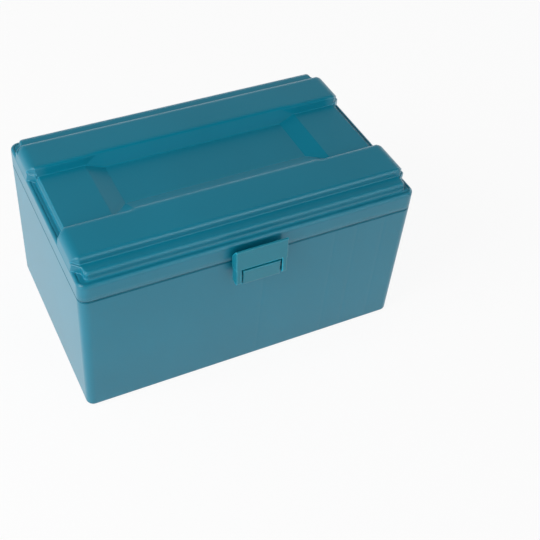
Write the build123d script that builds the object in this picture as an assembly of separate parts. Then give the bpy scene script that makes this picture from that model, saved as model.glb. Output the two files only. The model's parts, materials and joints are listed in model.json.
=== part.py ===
from build123d import *
import math
import os

# All sizes in mm. The origin is at the middle of the base: +X runs along the case, +Y points to the
# hinge side and +Z up. Heights named lid_... and every height inside the lid count from the seam.

# Box body
case_length = 240.0
case_depth = 151.0
body_height = 104.0
wall = 2.4
floor_thickness = 2.4
base_draft = 1.25
corner_radius = 6.5
base_edge_radius = 2.5
floor_edge_radius = 1.5
rim_edge_radius = 0.6

# Rim tongue of the body and the rebate of the lid that drops over it
tongue_thickness = 1.2
tongue_height = 2.0
tongue_side_gap = 0.2
tongue_top_gap = 0.3

# Lid steps: the insets count from the case's outer faces
lid_wall = 2.2
band_height = 14.0
band_edge_radius = 1.7
groove_inset = 2.3
groove_width = 0.6
groove_depth = 0.3
step_inset = 5.2
step_height = 19.7
step_edge_radius = 1.2
step_corner_radius = 2.6
ridge_front_inset = 13.9
ridge_rear_inset = 16.4
ridge_height = 24.5
ridge_lean = 0.8
ridge_edge_radius = 2.2
end_inset = 0.3
end_lean = 1.4
end_radius = 6.5
notch_inset = 11.3
step_corner_cut = 5.7
step_mouth_inset = 5.4
mouth_edge_radius = 4.0
ridge_front_cut = 8.3
ridge_rear_cut = 10.8
ridge_mouth_inset = 7.4

# Channel between the ridges, with a deeper panel in its middle: the places count from the centre lines
channel_floor = 18.7
channel_foot = 28.3
channel_edge = 30.5
panel_floor = 15.3
panel_front_foot = 14.6
panel_rear_foot = 25.2
panel_rear_edge = 32.0
panel_half_length = 67.0
ramp_half_length = 80.0
cutter_margin = 0.3

# Blade dividers: thin upright sheets with a scooped top edge, each an inset from the right end
divider_thickness = 1.7
divider_insets = {"left": 60.4, "middle": 43.4, "right": 21.6}
divider_front_height = 78.0
divider_back_height = 56.0
scoop_front_top = 30.0
scoop_front_foot = 22.0
scoop_front_height = 36.0
scoop_bottom_height = 24.0
scoop_back_top = 30.0
scoop_back_foot = 26.0
scoop_back_height = 37.0
scoop_corner_radius = 3.0

# Compartments between the open bay and the left blade divider
compartment_wall = 1.7
compartment_length = 50.4
cross_wall_place = 31.0
rear_side_height = 56.0
rear_cross_height = 44.5
front_side_height = 75.0
front_cross_height = 44.0
side_corner_cut = 5.0

# Hinges: one knuckle on the lid and one on the body at each end of the rear wall
hinge_offset = 4.5
hinge_end_inset = 33.5
knuckle_length = 16.5
knuckle_gap = 0.5
knuckle_radius = 4.0
knuckle_web_height = 10.0
hinge_pin_radius = 1.5
hinge_pin_setback = 0.4
running_gap = 0.05

# Latch and its bracket: places forward of the front wall, heights up or down from the seam
latch_front = 8.85
latch_tilt = 5.7
latch_width = 37.4
latch_depth = 6.2
latch_top = 13.3
latch_top_land = 1.5
latch_flange_top = 6.8
latch_plate_thickness = 2.4
latch_plate_drop = 1.4
latch_hook_bottom = 5.2
latch_hook_clearance = 0.4
latch_leg_inset = 0.4
latch_leg_width = 3.6
latch_leg_drop = 13.2
latch_heel_radius = 3.0
latch_edge_radius = 0.8
bracket_front = 9.6
bracket_side_gap = 1.25
bracket_top = 2.65
bracket_bottom = 14.5
bracket_groove_width = 0.8
bracket_groove_depth = 1.2
pivot_drop = 8.8
pivot_front = 6.4
latch_pin_radius = 1.25
latch_pin_cover = 1.4

# Catch rib on the lid's front wall and stiffening ribs inside the lid
catch_reach = 1.9
catch_length = 24.0
catch_bottom = 1.6
catch_top = 4.6
rib_thickness = 1.6
rib_reach = 1.8
front_rib_place = 72.5
end_rib_place = 35.0
rib_bottom = 3.0

half_length = case_length / 2
half_depth = case_depth / 2
divider_places = {name: half_length - inset for name, inset in divider_insets.items()}
compartment_end = divider_places["left"] - divider_thickness / 2
compartment_start = compartment_end - compartment_length
hinge_start = half_length - hinge_end_inset - 2 * knuckle_length - knuckle_gap
hinge_y = half_depth + hinge_offset
pivot_y = -half_depth - pivot_front
pivot_z = body_height - pivot_drop
leg_outside = latch_width / 2 - latch_leg_inset
leg_inside = leg_outside - latch_leg_width


def block(x_range, y_range, z_range):
    """Box between two limits on each axis."""
    limits = (x_range, y_range, z_range)
    sizes = [high - low for low, high in limits]
    middle = [(high + low) / 2 for low, high in limits]
    return Pos(*middle) * Box(*sizes)


def rounded_block(inset, bottom, top):
    """Upright block with the case's rounded outline, an inset inside its outer faces."""
    outline = RectangleRounded(case_length - 2 * inset, case_depth - 2 * inset, corner_radius - inset)
    return Pos(0, 0, bottom) * extrude(outline, amount=top - bottom)


def drafted_block(inset, bottom):
    """Block that widens towards the seam, an inset inside the body's outer faces."""
    sections = []
    for height in (bottom, body_height):
        shrink = inset + base_draft * (1 - height / body_height)
        outline = RectangleRounded(case_length - 2 * shrink, case_depth - 2 * shrink, corner_radius - shrink)
        sections.append(Pos(0, 0, height) * outline)
    return loft(sections, ruled=True)


def body_form():
    """The body as one full block, with its base edge and rim rounded."""
    form = drafted_block(0, 0)
    form = fillet(form.edges().group_by(Axis.Z)[-1], rim_edge_radius)
    return fillet(form.edges().group_by(Axis.Z)[0], base_edge_radius)


def cavity_form():
    """The room inside the body, up to the seam."""
    form = drafted_block(wall, floor_thickness)
    return fillet(form.edges().group_by(Axis.Z)[0], floor_edge_radius)


def body_shell(form, cavity):
    tongue_outside = wall - tongue_thickness
    tongue_top = body_height + tongue_height
    tongue = rounded_block(tongue_outside, body_height, tongue_top)
    return form - cavity + (tongue - rounded_block(wall, body_height, tongue_top))


def blade_divider(place, cavity):
    """Upright sheet across the case, its top edge scooped out so that a blade can be picked up."""
    front_foot = (-scoop_front_foot, scoop_front_height)
    back_foot = (scoop_back_foot, scoop_back_height)
    valley = ThreePointArc(front_foot, (0, scoop_bottom_height), back_foot)
    rest = Polyline(
        back_foot,
        (scoop_back_top, divider_back_height),
        (half_depth, divider_back_height),
        (half_depth, 0),
        (-half_depth, 0),
        (-half_depth, divider_front_height),
        (-scoop_front_top, divider_front_height),
        front_foot,
    )
    profile = make_face([valley.edge(), *rest.edges()])
    scoop_corners = [corner for corner in profile.vertices() if abs(corner.X) < half_depth]
    profile = fillet(scoop_corners, scoop_corner_radius)
    sheet = extrude(Plane.YZ * profile, amount=divider_thickness / 2, both=True)
    return (Pos(place, 0, 0) * sheet) & cavity


def compartment_side(side, height, cross_height, cavity):
    """Wall along Y left of a compartment, from its cross wall to the front (-1) or rear (1) wall."""
    near = cross_wall_place - compartment_wall / 2
    profile = Polyline(
        (side * near, 0),
        (side * near, cross_height),
        (side * (near + side_corner_cut), height),
        (side * half_depth, height),
        (side * half_depth, 0),
        close=True,
    )
    sheet = extrude(Plane.YZ * make_face(profile), amount=-compartment_wall)
    return (Pos(compartment_start, 0, 0) * sheet) & cavity


def compartment_cross_wall(side, height, cavity):
    """Wall along X, from the compartment's side wall to the left blade divider."""
    middle = side * cross_wall_place
    y_range = (middle - compartment_wall / 2, middle + compartment_wall / 2)
    sheet = block((compartment_start, compartment_end), y_range, (0, height))
    return sheet & cavity


def tier_outline(front_cut, rear_cut, mouth_inset, inset):
    """Outline of the step or the ridges, full length, with notched corners and channel mouths."""
    end = half_length - end_inset
    notch_y = half_depth - notch_inset
    mouth = half_length - mouth_inset
    quarters = []
    for side, cut in ((1, rear_cut), (-1, front_cut)):
        quarters.append([
            (end - cut, side * (half_depth - step_inset)),
            (end - cut, side * notch_y),
            (end, side * (notch_y - cut)),
            (end, side * (channel_foot + end - mouth)),
            (mouth, side * channel_foot),
        ])
    rear_quarter, front_quarter = quarters
    right_side = rear_quarter + front_quarter[::-1]
    left_side = [(-x, y) for x, y in right_side[::-1]]
    outline = make_face(Polyline(*right_side, *left_side, close=True))
    if inset:
        return offset(outline, amount=-inset, kind=Kind.INTERSECTION)
    step_corners = [corner for corner in outline.vertices() if abs(corner.Y) > notch_y + 1]
    return fillet(step_corners, step_corner_radius)


def leaning_slab(plane, foot, start, run, inset):
    """Slab across the lid as high as the ridges: above the start its two sides lean inwards by the run."""
    lean = run / (ridge_height - start)
    foot = foot - inset * math.hypot(1, lean)
    top = ridge_height - inset
    edge = foot - lean * (top - start)
    bottom = band_height - lid_wall
    profile = Polyline(
        (-foot, bottom),
        (-foot, start),
        (-edge, top),
        (edge, top),
        (foot, start),
        (foot, bottom),
        close=True,
    )
    return extrude(plane * make_face(profile), amount=case_length, both=True)


def rounded_ends(inset):
    """Slab across the lid as high as the ridges: its two ends lean inwards and round over at the top."""
    slab = leaning_slab(Plane.XZ, half_length - end_inset, band_height, end_lean, inset)
    return fillet(slab.edges().filter_by(Axis.Y).group_by(Axis.Z)[-1], end_radius - inset)


def channel_section(place, front_foot, front_edge, rear_foot, rear_edge, floor, inset):
    """Corners of the channel's section at one place along the case, widened by the inset."""
    top = ridge_height + cutter_margin - inset
    low = floor - inset
    corners = []
    for side, foot, edge in ((-1, front_foot, front_edge), (1, rear_foot, rear_edge)):
        lean = (edge - foot) / (ridge_height - floor)
        shift = inset * math.hypot(1, lean)
        corners.append(Vector(place, side * (foot + lean * (low - floor) + shift), low))
        corners.append(Vector(place, side * (foot + lean * (top - floor) + shift), top))
    front_low, front_high, rear_low, rear_high = corners
    return front_high, front_low, rear_low, rear_high


def flat_face(*corners):
    return Face(Wire.make_polygon(corners, close=True))


def channel_ramp(start, end):
    """Block between two channel sections, with each side wall folded along one diagonal."""
    start_front_high, start_front_low, start_rear_low, start_rear_high = start
    end_front_high, end_front_low, end_rear_low, end_rear_high = end
    faces = [
        flat_face(*start),
        flat_face(*end),
        flat_face(start_front_low, start_rear_low, end_rear_low, end_front_low),
        flat_face(start_front_high, start_rear_high, end_rear_high, end_front_high),
        flat_face(start_front_high, start_front_low, end_front_low),
        flat_face(start_front_high, end_front_low, end_front_high),
        flat_face(start_rear_high, start_rear_low, end_rear_low),
        flat_face(start_rear_high, end_rear_low, end_rear_high),
    ]
    return Solid(Shell(faces))


def channel_cutter(inset):
    """The channel and its deeper middle panel as one solid, in seam heights."""
    def end_section(place):
        return channel_section(place, channel_foot, channel_edge, channel_foot, channel_edge,
                               channel_floor, inset)

    def panel_section(place):
        return channel_section(place, panel_front_foot, channel_edge, panel_rear_foot, panel_rear_edge,
                               panel_floor, inset)

    panel_start = flat_face(*panel_section(-panel_half_length))
    cutter = extrude(panel_start, amount=2 * panel_half_length, dir=(1, 0, 0))
    for side in (-1, 1):
        ramp = channel_ramp(panel_section(side * panel_half_length), end_section(side * ramp_half_length))
        run_length = half_length - ramp_half_length
        run = extrude(flat_face(*end_section(side * ramp_half_length)), amount=run_length, dir=(side, 0, 0))
        cutter = cutter + ramp + run
    return cutter


def lid_band():
    """The lid's lowest tier as one full block, in seam heights, with its top edge and rim rounded."""
    band = rounded_block(0, 0, band_height)
    band = fillet(band.edges().group_by(Axis.Z)[0], rim_edge_radius)
    return fillet(band.edges().group_by(Axis.Z)[-1], band_edge_radius)


def channelled_step(step):
    """The lid's step with its top edges rounded, the channel cut and the lips of its mouths rounded."""
    top_edges = step.edges().group_by(Axis.Z)[-1]
    step = fillet([edge for edge in top_edges if abs(edge.center().Y) > channel_foot], step_edge_radius)
    step = step - channel_cutter(0)
    mouth = half_length - step_mouth_inset
    floor_edges = step.edges().filter_by(Axis.Y).filter_by_position(Axis.Z, channel_floor, channel_floor)
    return fillet([edge for edge in floor_edges if abs(edge.center().X) > mouth - 1], mouth_edge_radius)


def rounded_ridges(ridges):
    """The ridges with all their top edges rounded but those at the case's ends."""
    top_edges = ridges.edges().group_by(Axis.Z)[-1]
    end = half_length - end_inset
    return fillet([edge for edge in top_edges if abs(edge.center().X) < end - 1], ridge_edge_radius)


def lid_form(inset):
    """The lid as one full block, an inset inside its outer faces, in seam heights."""
    ends = rounded_ends(inset)
    step_plan = tier_outline(step_corner_cut, step_corner_cut, step_mouth_inset, inset)
    step = extrude(step_plan, amount=step_height - inset) & ends
    ridge_plan = tier_outline(ridge_front_cut, ridge_rear_cut, ridge_mouth_inset, inset)
    middle = (ridge_front_inset - ridge_rear_inset) / 2
    half_width = half_depth - (ridge_front_inset + ridge_rear_inset) / 2
    sides = Pos(0, middle, 0) * leaning_slab(Plane.YZ, half_width, step_height, ridge_lean, inset)
    ridges = (extrude(ridge_plan, amount=ridge_height - inset) & sides) - channel_cutter(inset)
    if inset:
        step = step - channel_cutter(inset)
        return rounded_block(inset, 0, band_height - inset) + step + (ridges & ends)
    groove = (rounded_block(groove_inset, band_height - groove_depth, band_height)
              - rounded_block(groove_inset + groove_width, band_height - groove_depth, band_height))
    return lid_band() - groove + channelled_step(step) + (rounded_ridges(ridges) & ends)


def lid_shell(room):
    rebate_inset = wall - tongue_thickness - tongue_side_gap
    rebate = rounded_block(rebate_inset, 0, tongue_height + tongue_top_gap)
    return Pos(0, 0, body_height) * (lid_form(0) - room - rebate)


def knuckle(side, first, height_sign, wall_form):
    """Hinge barrel along X with a web to the wall: below the seam on the body, above it on the lid."""
    to_wall = math.hypot(hinge_offset, knuckle_web_height)
    wall_angle = math.atan2(-knuckle_web_height, -hinge_offset)
    tangent_angle = wall_angle + math.acos(knuckle_radius / to_wall)
    tangent = (hinge_y + knuckle_radius * math.cos(tangent_angle), knuckle_radius * math.sin(tangent_angle))
    web_corners = [
        (hinge_y, 0),
        tangent,
        (half_depth, -knuckle_web_height),
        (half_depth - wall, -knuckle_web_height),
        (half_depth - wall, 0),
    ]
    web = make_face(Polyline(*[(y, -height_sign * z) for y, z in web_corners], close=True))
    profile = (web + Pos(hinge_y, 0) * Circle(knuckle_radius))
    barrel = Pos(first, 0, body_height) * extrude(Plane.YZ * profile, amount=knuckle_length, dir=(1, 0, 0))
    bore_radius = hinge_pin_radius + (running_gap if height_sign > 0 else 0)
    barrel = barrel - hinge_rod(bore_radius, first, first + knuckle_length) - wall_form
    return barrel if side > 0 else mirror(barrel, Plane.YZ)


def hinge_rod(radius, start, end):
    rod = Cylinder(radius, end - start, rotation=(0, 90, 0))
    return Pos((start + end) / 2, hinge_y, body_height) * rod


def hinge_pin(side):
    start = hinge_start + hinge_pin_setback
    end = hinge_start + 2 * knuckle_length + knuckle_gap - hinge_pin_setback
    pin = hinge_rod(hinge_pin_radius, start, end)
    return pin if side > 0 else mirror(pin, Plane.YZ)


def latch_rod(radius, half_span):
    rod = Cylinder(radius, 2 * half_span, rotation=(0, 90, 0))
    return Pos(0, pivot_y, pivot_z) * rod


def latch_pin():
    return latch_rod(latch_pin_radius, leg_outside - latch_pin_cover)


def latch_bracket(form):
    """Block below the rim that the latch pin runs through."""
    half_width = leg_inside - bracket_side_gap
    bottom = body_height - bracket_bottom
    top = body_height - bracket_top
    y_range = (-half_depth - bracket_front, -half_depth + wall)
    bracket = block((-half_width, half_width), y_range, (bottom, top))
    bracket = fillet(bracket.edges().group_by(Axis.Y)[0], latch_edge_radius)
    groove = block((-half_width, half_width),
                   (pivot_y - bracket_groove_width / 2, pivot_y + bracket_groove_width / 2),
                   (top - bracket_groove_depth, top))
    return bracket - groove - latch_rod(latch_pin_radius, half_width) - form


def latch_side(points, start, end):
    """Prism along X from points given as (forward of the front wall, above the seam)."""
    profile = Polyline(*[(-half_depth - forward, body_height + up) for forward, up in points], close=True)
    return extrude(Plane.YZ * Pos(0, 0, start) * make_face(profile), amount=end - start)


def latch_point(up, back=0.0):
    """Place forward and height of a point on the latch's tilted front face, or a depth behind it."""
    return latch_front - math.tan(math.radians(latch_tilt)) * up - back, up


def latch_head():
    """Cover plate with a hook along its back and a flange at each side."""
    slope_start = latch_point(latch_top, latch_top_land)
    slope_end = latch_point(latch_flange_top, latch_depth)
    block_outline = [
        latch_point(-latch_plate_drop),
        latch_point(latch_top),
        slope_start,
        slope_end,
        latch_point(-latch_plate_drop, latch_depth),
    ]
    hook_front = catch_reach + latch_hook_clearance
    pocket_outline = [
        latch_point(-latch_plate_drop - 1, latch_plate_thickness),
        latch_point(latch_hook_bottom, latch_plate_thickness),
        (hook_front, latch_hook_bottom),
        (hook_front, latch_top),
        (0, latch_top),
        (0, -latch_plate_drop - 1),
    ]
    outside = latch_width / 2
    head = latch_side(block_outline, -outside, outside)
    front = head.faces().sort_by(Axis.Y)[0]
    rounded = [edge for edge in front.edges() if edge.center().Z > body_height - latch_plate_drop + 1]
    return fillet(rounded, latch_edge_radius) - latch_side(pocket_outline, -leg_inside, leg_inside)


def latch_leg():
    """Right leg, rounded at its heel so that it turns clear of the wall."""
    outline = [
        latch_point(-latch_leg_drop),
        latch_point(-latch_plate_drop),
        latch_point(-latch_plate_drop, latch_depth),
        latch_point(-latch_leg_drop, latch_depth),
    ]
    leg = latch_side(outline, leg_inside, leg_outside)
    bottom_edges = leg.edges().filter_by(Axis.X).group_by(Axis.Z)[0].sort_by(Axis.Y)
    leg = fillet(bottom_edges[-1], latch_heel_radius)
    front = leg.faces().sort_by(Axis.Y)[0]
    outer = front.edges().sort_by(Axis.X)[-1]
    bottom = front.edges().sort_by(Axis.Z)[0]
    return fillet([outer, bottom], latch_edge_radius)


def latch():
    """Tilted cover with a leg at each end: the legs turn on the latch pin, outside the bracket."""
    leg = latch_leg()
    body = latch_head() + leg + mirror(leg, Plane.YZ)
    return body - latch_rod(latch_pin_radius + running_gap, leg_outside - latch_pin_cover)


def catch_rib():
    """Rib on the lid's front wall that the latch hooks over, with slanted upper and lower faces."""
    points = [
        (0, catch_bottom),
        (catch_reach, catch_bottom + catch_reach / 2),
        (catch_reach, catch_top),
        (0, catch_top),
    ]
    return latch_side(points, -catch_length / 2, catch_length / 2)


def lid_ribs(places, lid_room):
    """Low upright ribs on the inside of the lid's walls, one solid for each range of X and Y."""
    ribs = Part()
    for x_range, y_range in places:
        ribs = ribs + (block(x_range, y_range, (rib_bottom, band_height)) & lid_room)
    return Pos(0, 0, body_height) * ribs


def front_rib_places():
    start = -half_depth
    end = start + lid_wall + rib_reach
    half = rib_thickness / 2
    places = (-front_rib_place, front_rib_place)
    return [((place - half, place + half), (start, end)) for place in places]


def end_rib_places(side):
    start, end = sorted((side * half_length, side * (half_length - lid_wall - rib_reach)))
    half = rib_thickness / 2
    return [((start, end), (row * end_rib_place - half, row * end_rib_place + half)) for row in (-1, 1)]


def build_parts():
    form = body_form()
    cavity = cavity_form()
    lid_outside = Pos(0, 0, body_height) * lid_band()
    lid_room = lid_form(lid_wall)
    parts = {
        "body_shell": body_shell(form, cavity),
        "lid_shell": lid_shell(lid_room),
        "rear_compartment_side": compartment_side(1, rear_side_height, rear_cross_height, cavity),
        "rear_compartment_cross_wall": compartment_cross_wall(1, rear_cross_height, cavity),
        "front_compartment_side": compartment_side(-1, front_side_height, front_cross_height, cavity),
        "front_compartment_cross_wall": compartment_cross_wall(-1, front_cross_height, cavity),
        "latch_bracket": latch_bracket(form),
        "latch": latch(),
        "latch_pin": latch_pin(),
        "lid_catch_rib": catch_rib(),
        "lid_front_ribs": lid_ribs(front_rib_places(), lid_room),
    }
    for name, place in divider_places.items():
        parts[f"blade_divider_{name}"] = blade_divider(place, cavity)
    body_knuckle_start = hinge_start + knuckle_length + knuckle_gap
    for name, side in (("left", -1), ("right", 1)):
        parts[f"body_hinge_knuckle_{name}"] = knuckle(side, body_knuckle_start, -1, form)
        parts[f"lid_hinge_knuckle_{name}"] = knuckle(side, hinge_start, 1, lid_outside)
        parts[f"hinge_pin_{name}"] = hinge_pin(side)
        parts[f"lid_end_ribs_{name}"] = lid_ribs(end_rib_places(side), lid_room)
    return parts


os.makedirs("parts", exist_ok=True)
for node, solid in build_parts().items():
    solid.label = node
    export_step(solid, f"parts/{node}.step")
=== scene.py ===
import json

import bmesh
import bpy
from mathutils import Matrix, Vector


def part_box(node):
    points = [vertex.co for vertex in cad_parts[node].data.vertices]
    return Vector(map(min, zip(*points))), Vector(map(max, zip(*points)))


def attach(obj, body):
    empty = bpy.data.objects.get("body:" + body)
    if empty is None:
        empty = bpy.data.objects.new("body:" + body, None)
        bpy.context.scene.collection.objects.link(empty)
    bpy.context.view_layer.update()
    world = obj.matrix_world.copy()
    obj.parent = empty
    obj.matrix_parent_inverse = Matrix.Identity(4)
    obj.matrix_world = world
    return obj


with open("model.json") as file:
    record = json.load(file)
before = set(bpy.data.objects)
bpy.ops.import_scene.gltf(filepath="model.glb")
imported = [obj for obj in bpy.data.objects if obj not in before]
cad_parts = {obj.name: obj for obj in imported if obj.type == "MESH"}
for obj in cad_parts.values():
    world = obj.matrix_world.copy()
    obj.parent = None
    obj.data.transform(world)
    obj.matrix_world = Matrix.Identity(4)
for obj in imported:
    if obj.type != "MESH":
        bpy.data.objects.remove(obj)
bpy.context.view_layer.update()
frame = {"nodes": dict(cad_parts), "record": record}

MM = 0.001

# Lid: how far its wide edges and matt walls reach, from its top, long sides, ends or middle
WIDE_EDGE = 4 * MM
RIDGE_EDGE_DEPTH = 1.5 * MM
STEP_EDGE_DEPTH = 10.2 * MM
STEP_EDGE_INSET = 9 * MM
BAND_EDGE_INSET = 5 * MM
CHANNEL_HALF_WIDTH = 33 * MM
CHANNEL_END_INSETS = (14 * MM, 6 * MM)

# Seam of lid and body: where its painted shade starts to fade and where it ends, above and below
SEAM_SHADE_REACH = (0.6 * MM, 1.2 * MM)
SEAM_SHADE_LOSS = 0.45

# Plastic: its colours, its specular level and what the matt grain takes from that, the lean of an
# edge (as a cosine) where its painted highlight starts and is full, and the sizes of its patterns
PETROL = "#087E98"
LIGHTER_PETROL = "#0A8298"
FULL_SHINE = 0.5
MATT_LOSS = 0.46
EDGE_LEAN = (0.99, 0.85)
BEVEL_SAMPLES = 8
FLOW_CLOUD = 71.4 * MM
GRIT = 0.4 * MM
WARP_LENGTH = 41.7 * MM
SINK_HALF_WIDTH = 2.2 * MM

# Steel pins: the gap between the scratches left by drawing
SCRATCH_SPACING = 0.2 * MM

# Ejector marks: the walls they stand on, their own size and their places
FLOOR_THICKNESS = 2.4 * MM
LID_THICKNESS = 2.2 * MM
RING_RADIUS = 3.5 * MM
BEAD_RADIUS = 0.15 * MM
BAY_MARK_SPACING = 30 * MM
FLOOR_MARK_ROWS = (-52 * MM, 0.0, 52 * MM)
LID_MARK_COLUMNS = (-85 * MM, 0.0, 85 * MM)
LID_MARK_ROWS = (-45 * MM, 45 * MM)

# Studio: the floor's reach, its gap below the case, its brightness to the camera, and where the
# lamps point
FLOOR_REACH = 6.0
FLOOR_DROP = 0.2 * MM
SEEN_WHITE = 0.92
LAMP_TARGET = Vector((0, 0, 80 * MM))

# Camera: its place and axes beside the case, and its lens in pixels of the square render
IMAGE_SIDE = 540
FOCAL_LENGTH = 992.55
LENS_CENTRE = (223.41, 230.18)
SENSOR_WIDTH = 36
CAMERA_PLACE = Vector((-0.2307, -0.4751, 0.5536))
CAMERA_RIGHT = Vector((0.90715, -0.41827, 0.04605))
CAMERA_DOWN = Vector((-0.25568, -0.63479, -0.72916))
CAMERA_FORWARD = Vector((0.33422, 0.64968, -0.68280))


def linear(hex_colour):
    """An sRGB hex colour as linear RGBA."""
    channels = [int(hex_colour[i:i + 2], 16) / 255 for i in (1, 3, 5)]
    return [c / 12.92 if c <= 0.04045 else ((c + 0.055) / 1.055) ** 2.4 for c in channels] + [1.0]


def add(tree, kind, inputs=(), **settings):
    """Adds one node with its settings.

    Inputs go by name or number, or as a list in order. Each is a value, an output that is linked
    in, or a node, which stands for its first output.
    """
    node = tree.nodes.new(kind)
    for name, value in settings.items():
        setattr(node, name, value)
    for socket, value in inputs.items() if isinstance(inputs, dict) else enumerate(inputs):
        if isinstance(value, bpy.types.Node):
            value = value.outputs[0]
        if isinstance(value, bpy.types.NodeSocket):
            tree.links.new(value, node.inputs[socket])
        else:
            node.inputs[socket].default_value = value
    return node


def new_material(name):
    """A material without nodes, and its tree."""
    material = bpy.data.materials.new(name)
    material.use_nodes = True
    material.node_tree.nodes.clear()
    return material, material.node_tree


def middle_x(node):
    """Where the middle of a CAD piece lies along the case."""
    low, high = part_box(node)
    return (low[0] + high[0]) / 2


# The lid's own sizes, and the places of the ribs along the case
lid_low, lid_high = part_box("lid_shell")
seam = lid_low[2]
lid_top = lid_high[2]
half_length = lid_high[0]
half_depth = (lid_high[1] - lid_low[1]) / 2
ribs = [middle_x(node) for node in ("front_compartment_side", "blade_divider_left",
                                    "blade_divider_middle", "blade_divider_right")]


def wide_lid_edges(tree, axes, corners):
    """The lid's ridges, step and band have widely rounded outer edges: soft bright lines."""
    wide = add(tree, "ShaderNodeBevel", {"Radius": WIDE_EDGE}, samples=BEVEL_SAMPLES)
    sideways = add(tree, "ShaderNodeMath", [axes["Y"]], operation="ABSOLUTE")
    on_ridge = add(tree, "ShaderNodeMath", [axes["Z"], lid_top - RIDGE_EDGE_DEPTH],
                   operation="GREATER_THAN")
    high_up = add(tree, "ShaderNodeMath", [axes["Z"], lid_top - STEP_EDGE_DEPTH],
                  operation="GREATER_THAN")
    far_out = add(tree, "ShaderNodeMath", [sideways, half_depth - STEP_EDGE_INSET],
                  operation="GREATER_THAN")
    on_step = add(tree, "ShaderNodeMath", [high_up, far_out], operation="MULTIPLY")
    on_band = add(tree, "ShaderNodeMath", [sideways, half_depth - BAND_EDGE_INSET],
                  operation="GREATER_THAN")
    lower = add(tree, "ShaderNodeMath", [on_step, on_band], operation="MAXIMUM")
    outer = add(tree, "ShaderNodeMath", [on_ridge, lower], operation="MAXIMUM")
    # A Mix node's inputs 4 and 5 and its output 1 are the ones for vectors
    blend = add(tree, "ShaderNodeMix", {0: outer, 4: corners, 5: wide}, data_type="VECTOR")
    return blend.outputs[1]


def matt_lid_walls(tree, axes, facing):
    """The channel's front-facing wall and the panel's right ramp keep the mould's matt grain."""
    sideways = add(tree, "ShaderNodeMath", [axes["Y"]], operation="ABSOLUTE")
    inside = add(tree, "ShaderNodeMath", [sideways, CHANNEL_HALF_WIDTH], operation="LESS_THAN")
    lengthways = add(tree, "ShaderNodeMath", [axes["X"]], operation="ABSOLUTE")
    between = add(tree, "ShaderNodeMapRange",
                  {"Value": lengthways, "From Min": half_length - CHANNEL_END_INSETS[0],
                   "From Max": half_length - CHANNEL_END_INSETS[1], "To Min": 1.0, "To Max": 0.0})
    # The channel's wall faces forward, and the ramp leans a few degrees left and is less matt
    steep = add(tree, "ShaderNodeMapRange",
                {"Value": facing["Y"], "From Min": -0.2, "From Max": -0.6})
    ramp = add(tree, "ShaderNodeMapRange",
               {"Value": facing["X"], "From Min": -0.05, "From Max": -0.15, "To Max": 0.7})
    matt = add(tree, "ShaderNodeMath", [steep, ramp], operation="MAXIMUM")
    in_channel = add(tree, "ShaderNodeMath", [inside, between], operation="MULTIPLY")
    return add(tree, "ShaderNodeMath", [in_channel, matt], operation="MULTIPLY")


def seam_shade(tree, axes, facing):
    """Painted shade on the upright walls by the seam: the joint's rounded lips shade each other.
    """
    offset = add(tree, "ShaderNodeMath", [axes["Z"], seam], operation="SUBTRACT")
    away = add(tree, "ShaderNodeMath", [offset], operation="ABSOLUTE")
    joint = add(tree, "ShaderNodeMapRange",
                {"Value": away, "From Min": SEAM_SHADE_REACH[0], "From Max": SEAM_SHADE_REACH[1],
                 "To Min": 1.0, "To Max": 0.0})
    flat = add(tree, "ShaderNodeMath", [facing["Z"]], operation="ABSOLUTE")
    upright = add(tree, "ShaderNodeMath", [1.0, flat], operation="SUBTRACT")
    return add(tree, "ShaderNodeMath", [joint, upright], operation="MULTIPLY")


def sink_lines(tree, axes):
    """Height of the shallow lines that sink in opposite each rib, whose thick root cools last."""
    height = 1.0
    for rib in ribs:
        offset = add(tree, "ShaderNodeMath", [axes["X"], rib], operation="SUBTRACT")
        away = add(tree, "ShaderNodeMath", [offset], operation="ABSOLUTE")
        slope = add(tree, "ShaderNodeMath", [away, SINK_HALF_WIDTH], operation="DIVIDE")
        line = add(tree, "ShaderNodeMath", [slope, 1.0], operation="SMOOTH_MIN")
        height = add(tree, "ShaderNodeMath", [height, line], operation="MULTIPLY")
    return height


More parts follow.
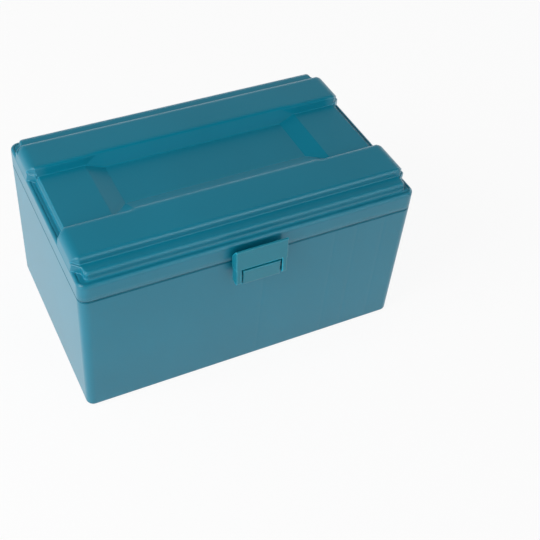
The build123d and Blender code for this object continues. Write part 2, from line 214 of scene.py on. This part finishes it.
def moulded_polypropylene(name, base, roughness, soft_edge, painted_edge_highlight, shell=None):
    """Injection-moulded polypropylene: one colour right through, with a satin, spark-eroded skin.

    The shell is "lid" or "body", and None for the small pieces.
    """
    material, tree = new_material(name)
    place = add(tree, "ShaderNodeTexCoord").outputs["Object"]
    # Corners of the mould's cuts print as edges rounded by about a millimetre
    corners = add(tree, "ShaderNodeBevel", {"Radius": soft_edge}, samples=BEVEL_SAMPLES)
    straight = add(tree, "ShaderNodeNewGeometry").outputs["Normal"]
    shine = FULL_SHINE
    if shell:
        axes = add(tree, "ShaderNodeSeparateXYZ", [place]).outputs
        facing = add(tree, "ShaderNodeSeparateXYZ", [straight]).outputs
    if shell == "lid":
        corners = wide_lid_edges(tree, axes, corners)
        matt = matt_lid_walls(tree, axes, facing)
        loss = add(tree, "ShaderNodeMath", [matt, MATT_LOSS], operation="MULTIPLY")
        shine = add(tree, "ShaderNodeMath", [FULL_SHINE, loss], operation="SUBTRACT")
    # Melt flow leaves clouds some 70 mm across in the colour, a few percent lighter or darker
    flow = add(tree, "ShaderNodeTexNoise",
               {"Vector": place, "Scale": 1 / FLOW_CLOUD, "Detail": 3.0, "Roughness": 0.45})
    tint = add(tree, "ShaderNodeValToRGB", {"Fac": flow})
    for element, position, tone in zip(tint.color_ramp.elements, (0.3, 0.7), (0.96, 1.04)):
        element.position = position
        element.color = [min(1.0, c * tone) for c in linear(base)[:3]] + [1.0]
    # Painted highlight: rounded edges are made lighter in colour the more they lean from the flat
    # face, standing for light that enters the translucent plastic and comes out again at its thin
    # edges
    lean = add(tree, "ShaderNodeVectorMath", [corners, straight], operation="DOT_PRODUCT")
    level = add(tree, "ShaderNodeMapRange",
                {"Value": lean.outputs["Value"], "From Min": EDGE_LEAN[0],
                 "From Max": EDGE_LEAN[1], "To Min": 1.0, "To Max": painted_edge_highlight})
    # Painted shade beside the seam: a darker colour and less shine
    if shell:
        shade = seam_shade(tree, axes, facing)
        dark = add(tree, "ShaderNodeMath", [shade, SEAM_SHADE_LOSS], operation="MULTIPLY")
        light = add(tree, "ShaderNodeMath", [1.0, dark], operation="SUBTRACT")
        level = add(tree, "ShaderNodeMath", [level, light], operation="MULTIPLY")
        open_face = add(tree, "ShaderNodeMath", [1.0, shade], operation="SUBTRACT")
        shine = add(tree, "ShaderNodeMath", [open_face, shine], operation="MULTIPLY")
    colour = add(tree, "ShaderNodeHueSaturation", {"Color": tint, "Value": level})
    # Spark-eroded grit is about 0.05 mm: drawn at 0.4 mm so that it shows close up
    grit = add(tree, "ShaderNodeTexNoise",
               {"Vector": place, "Scale": 1 / GRIT, "Detail": 2.0, "Roughness": 0.6})
    skin = add(tree, "ShaderNodeBump",
               {"Height": grit, "Normal": corners, "Strength": 0.2, "Distance": 0.02 * MM})
    # Thin walls warp by a few hundredths of a millimetre over some 40 mm, and 120 mm upwards
    stretched = add(tree, "ShaderNodeMapping", {"Vector": place, "Scale": (1.0, 1.0, 0.35)})
    warp = add(tree, "ShaderNodeTexNoise",
               {"Vector": stretched, "Scale": 1 / WARP_LENGTH, "Detail": 1.0})
    surface = add(tree, "ShaderNodeBump",
                  {"Height": warp, "Normal": skin, "Strength": 0.4, "Distance": 0.3 * MM})
    if shell == "body":
        surface = add(tree, "ShaderNodeBump",
                      {"Height": sink_lines(tree, axes), "Normal": surface, "Strength": 1.0,
                       "Distance": 0.08 * MM})
    shader = add(tree, "ShaderNodeBsdfPrincipled",
                 {"Base Color": colour, "Normal": surface, "Roughness": roughness, "IOR": 1.5,
                  "Specular IOR Level": shine})
    add(tree, "ShaderNodeOutputMaterial", {"Surface": shader})
    return material


def drawn_steel_wire():
    """Bright steel wire: the die leaves fine scratches along it, which stretch its reflections."""
    material, tree = new_material("drawn_steel_wire")
    place = add(tree, "ShaderNodeTexCoord").outputs["Object"]
    # Scratches run along the pin: a hundred times longer than wide, drawn 0.2 mm apart to show
    along = add(tree, "ShaderNodeMapping", {"Vector": place, "Scale": (0.01, 1.0, 1.0)})
    scratches = add(tree, "ShaderNodeTexNoise",
                    {"Vector": along, "Scale": 1 / SCRATCH_SPACING, "Detail": 2.0})
    lines = add(tree, "ShaderNodeBump",
                {"Height": scratches, "Strength": 0.3, "Distance": 0.02 * MM})
    polish = add(tree, "ShaderNodeMapRange", {"Value": scratches, "To Min": 0.18, "To Max": 0.4})
    shader = add(tree, "ShaderNodeBsdfPrincipled",
                 {"Base Color": linear("#B9BCBE"), "Metallic": 1.0, "Roughness": polish,
                  "Normal": lines})
    add(tree, "ShaderNodeOutputMaterial", {"Surface": shader})
    return material


lid_plastic = moulded_polypropylene("moulded_polypropylene_lid", PETROL, roughness=0.30,
                                    soft_edge=1.2 * MM, painted_edge_highlight=1.3, shell="lid")
body_plastic = moulded_polypropylene("moulded_polypropylene_body", PETROL, roughness=0.30,
                                     soft_edge=0.8 * MM, painted_edge_highlight=1.3, shell="body")
fitting_plastic = moulded_polypropylene("moulded_polypropylene_fittings", PETROL, roughness=0.30,
                                        soft_edge=0.6 * MM, painted_edge_highlight=1.8)
latch_plastic = moulded_polypropylene("moulded_polypropylene_latch", LIGHTER_PETROL,
                                      roughness=0.28, soft_edge=1.3 * MM, painted_edge_highlight=2.7)

finishes = {"body": fitting_plastic, "lid": fitting_plastic, "latch": latch_plastic,
            "pins": drawn_steel_wire()}
own_finishes = {"body_shell": body_plastic, "lid_shell": lid_plastic,
                "latch_bracket": latch_plastic}
slots = {part["node"]: part["material_slot"] for part in frame["record"]["subparts"]}
for name, node in frame["nodes"].items():
    node.data.materials.clear()
    node.data.materials.append(own_finishes.get(name, finishes[slots[name]]))


def ejector_ring_tree():
    """Rings where the mould's ejector pins pushed: a thin bead round each point of a mesh."""
    tree = bpy.data.node_groups.new("ejector_mark_rings", "GeometryNodeTree")
    kinds = {"Geometry": "Geometry", "Ring Radius": "Float", "Bead Radius": "Float",
             "Plastic": "Material"}
    identifiers = {}
    for name, kind in kinds.items():
        socket = tree.interface.new_socket(name, in_out="INPUT", socket_type=f"NodeSocket{kind}")
        identifiers[name] = socket.identifier
    tree.interface.new_socket("Geometry", in_out="OUTPUT", socket_type="NodeSocketGeometry")
    given = add(tree, "NodeGroupInput").outputs
    ring = add(tree, "GeometryNodeCurvePrimitiveCircle",
               {"Radius": given["Ring Radius"], "Resolution": 40})
    bead = add(tree, "GeometryNodeCurvePrimitiveCircle",
               {"Radius": given["Bead Radius"], "Resolution": 8})
    swept = add(tree, "GeometryNodeCurveToMesh", {"Curve": ring, "Profile Curve": bead})
    rings = add(tree, "GeometryNodeInstanceOnPoints",
                {"Points": given["Geometry"], "Instance": swept})
    real = add(tree, "GeometryNodeRealizeInstances", {"Geometry": rings})
    coated = add(tree, "GeometryNodeSetMaterial",
                 {"Geometry": real, "Material": given["Plastic"]})
    add(tree, "NodeGroupOutput", {"Geometry": coated})
    return tree, identifiers


ring_tree, ring_sockets = ejector_ring_tree()


def ejector_marks(name, places, body, slot):
    """Ring beads half sunk into the face that their places lie on."""
    seeds = bpy.data.meshes.new(name + "_places")
    seeds.from_pydata(places, [], [])
    holder = bpy.data.objects.new(name + "_places", seeds)
    bpy.context.scene.collection.objects.link(holder)
    rings = holder.modifiers.new("rings", "NODES")
    rings.node_group = ring_tree
    for socket, value in (("Ring Radius", RING_RADIUS), ("Bead Radius", BEAD_RADIUS),
                          ("Plastic", finishes[slot])):
        rings[ring_sockets[socket]] = value
    evaluated = holder.evaluated_get(bpy.context.evaluated_depsgraph_get())
    mesh = bpy.data.meshes.new_from_object(evaluated)
    bpy.data.objects.remove(holder)
    shape = bmesh.new()
    shape.from_mesh(mesh)
    bmesh.ops.recalc_face_normals(shape, faces=shape.faces)
    shape.to_mesh(mesh)
    shape.free()
    for face in mesh.polygons:
        face.use_smooth = True
    mesh.name = name
    marks = bpy.data.objects.new(name, mesh)
    bpy.context.scene.collection.objects.link(marks)
    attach(marks, body)


# The body's marks stand in the wide bay, between two dividers and in the front compartment
bay_middle = (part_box("body_shell")[0][0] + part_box("front_compartment_side")[0][0]) / 2
slot_middle = (middle_x("blade_divider_left") + middle_x("blade_divider_middle")) / 2
floor_mark_columns = (bay_middle - BAY_MARK_SPACING, bay_middle + BAY_MARK_SPACING, slot_middle,
                      middle_x("front_compartment_cross_wall"))
marked_floor = [(x, y, FLOOR_THICKNESS) for x in floor_mark_columns for y in FLOOR_MARK_ROWS]
marked_ceiling = [(x, y, lid_top - LID_THICKNESS) for x in LID_MARK_COLUMNS for y in LID_MARK_ROWS]
ejector_marks("body_ejector_marks", marked_floor, "case", "body")
ejector_marks("lid_ejector_marks", marked_ceiling, "lid", "lid")


# Studio floor: matt white paper that is nearly white to the camera and keeps the case's shadow
floor_corners = [(x * FLOOR_REACH, y * FLOOR_REACH, -FLOOR_DROP)
                 for x, y in ((-1, -1), (1, -1), (1, 1), (-1, 1))]
floor_mesh = bpy.data.meshes.new("studio_floor")
floor_mesh.from_pydata(floor_corners, [], [(0, 1, 2, 3)])
floor = bpy.data.objects.new("studio_floor", floor_mesh)
bpy.context.scene.collection.objects.link(floor)
floor_paper, tree = new_material("matt_white_paper")
paper = add(tree, "ShaderNodeBsdfDiffuse", {"Color": linear("#F4F4F4")})
glow = add(tree, "ShaderNodeEmission", {"Color": linear("#FFFFFF"), "Strength": 1.0})
rays = add(tree, "ShaderNodeLightPath").outputs
mirrored = add(tree, "ShaderNodeMath", [rays["Is Glossy Ray"], rays["Is Transmission Ray"]],
               operation="MAXIMUM")
seen = add(tree, "ShaderNodeMath", [rays["Is Camera Ray"], SEEN_WHITE], operation="MULTIPLY")
whiteness = add(tree, "ShaderNodeMath", [mirrored, seen], operation="MAXIMUM")
look = add(tree, "ShaderNodeMixShader", [whiteness, paper, glow])
add(tree, "ShaderNodeOutputMaterial", {"Surface": look})
floor_mesh.materials.append(floor_paper)

# Studio cove: bright all round at the horizon and darker overhead, and white to the camera
world = bpy.data.worlds.new("studio")
bpy.context.scene.world = world
world.use_nodes = True
tree = world.node_tree
tree.nodes.clear()
direction = add(tree, "ShaderNodeTexCoord").outputs["Generated"]
upwards = add(tree, "ShaderNodeSeparateXYZ", [direction]).outputs["Z"]
cove = add(tree, "ShaderNodeValToRGB", {"Fac": upwards})
stops = cove.color_ramp.elements
stops.new(0.25)
stops.new(0.5)
for stop, position, tone in zip(stops, (0.0, 0.25, 0.5, 0.78), (1.0, 0.7, 0.38, 0.14)):
    stop.position = position
    stop.color = (tone, tone, tone, 1)
rays = add(tree, "ShaderNodeLightPath").outputs
sky = add(tree, "ShaderNodeBackground", {"Color": cove, "Strength": 1.0})
white = add(tree, "ShaderNodeBackground", {"Color": (1, 1, 1, 1), "Strength": 1.0})
look = add(tree, "ShaderNodeMixShader", [rays["Is Camera Ray"], sky, white])
add(tree, "ShaderNodeOutputWorld", {"Surface": look})


def softbox(name, place, width, height, watts, only_reflected=False):
    """An area lamp aimed at the case, or a bright card that only shows in reflections."""
    lamp = bpy.data.lights.new(name, "AREA")
    lamp.shape = "RECTANGLE"
    lamp.size = width
    lamp.size_y = height
    lamp.energy = watts
    holder = bpy.data.objects.new(name, lamp)
    holder.location = place
    holder.visible_diffuse = not only_reflected
    towards_case = LAMP_TARGET - Vector(place)
    holder.rotation_euler = towards_case.to_track_quat("-Z", "Y").to_euler()
    bpy.context.scene.collection.objects.link(holder)


# Places, widths and heights in metres, and watts
softbox("softbox_left", (-1.0, -0.2, 0.85), 0.7, 0.7, 9.8)
softbox("softbox_front_left", (-1.2, -1.5, 0.6), 0.6, 0.5, 0.8)
softbox("softbox_left_low", (-1.8, 0.5, 0.4), 1.0, 0.6, 3)
softbox("softbox_right", (1.8, 0.3, 0.45), 1.2, 0.8, 6)
softbox("softbox_front_right", (0.8, -1.7, 1.5), 0.7, 0.5, 3.4)
softbox("card_front_right", (0.95, -1.9, 1.4), 1.7, 1.4, 13, only_reflected=True)
softbox("card_back", (0.85, 2.35, 0.35), 2.0, 0.6, 4, only_reflected=True)

turn = Matrix((CAMERA_RIGHT, -CAMERA_DOWN, -CAMERA_FORWARD)).transposed()
camera_data = bpy.data.cameras.new("camera")
camera_data.sensor_width = SENSOR_WIDTH
camera_data.lens = FOCAL_LENGTH / IMAGE_SIDE * SENSOR_WIDTH
camera_data.shift_x = (IMAGE_SIDE / 2 - LENS_CENTRE[0]) / IMAGE_SIDE
camera_data.shift_y = (LENS_CENTRE[1] - IMAGE_SIDE / 2) / IMAGE_SIDE
camera_data.clip_start = 0.01
camera = bpy.data.objects.new("camera", camera_data)
camera.matrix_world = Matrix.Translation(CAMERA_PLACE) @ turn.to_4x4()
bpy.context.scene.collection.objects.link(camera)
bpy.context.scene.camera = camera
bpy.context.scene.view_settings.view_transform = "Standard"
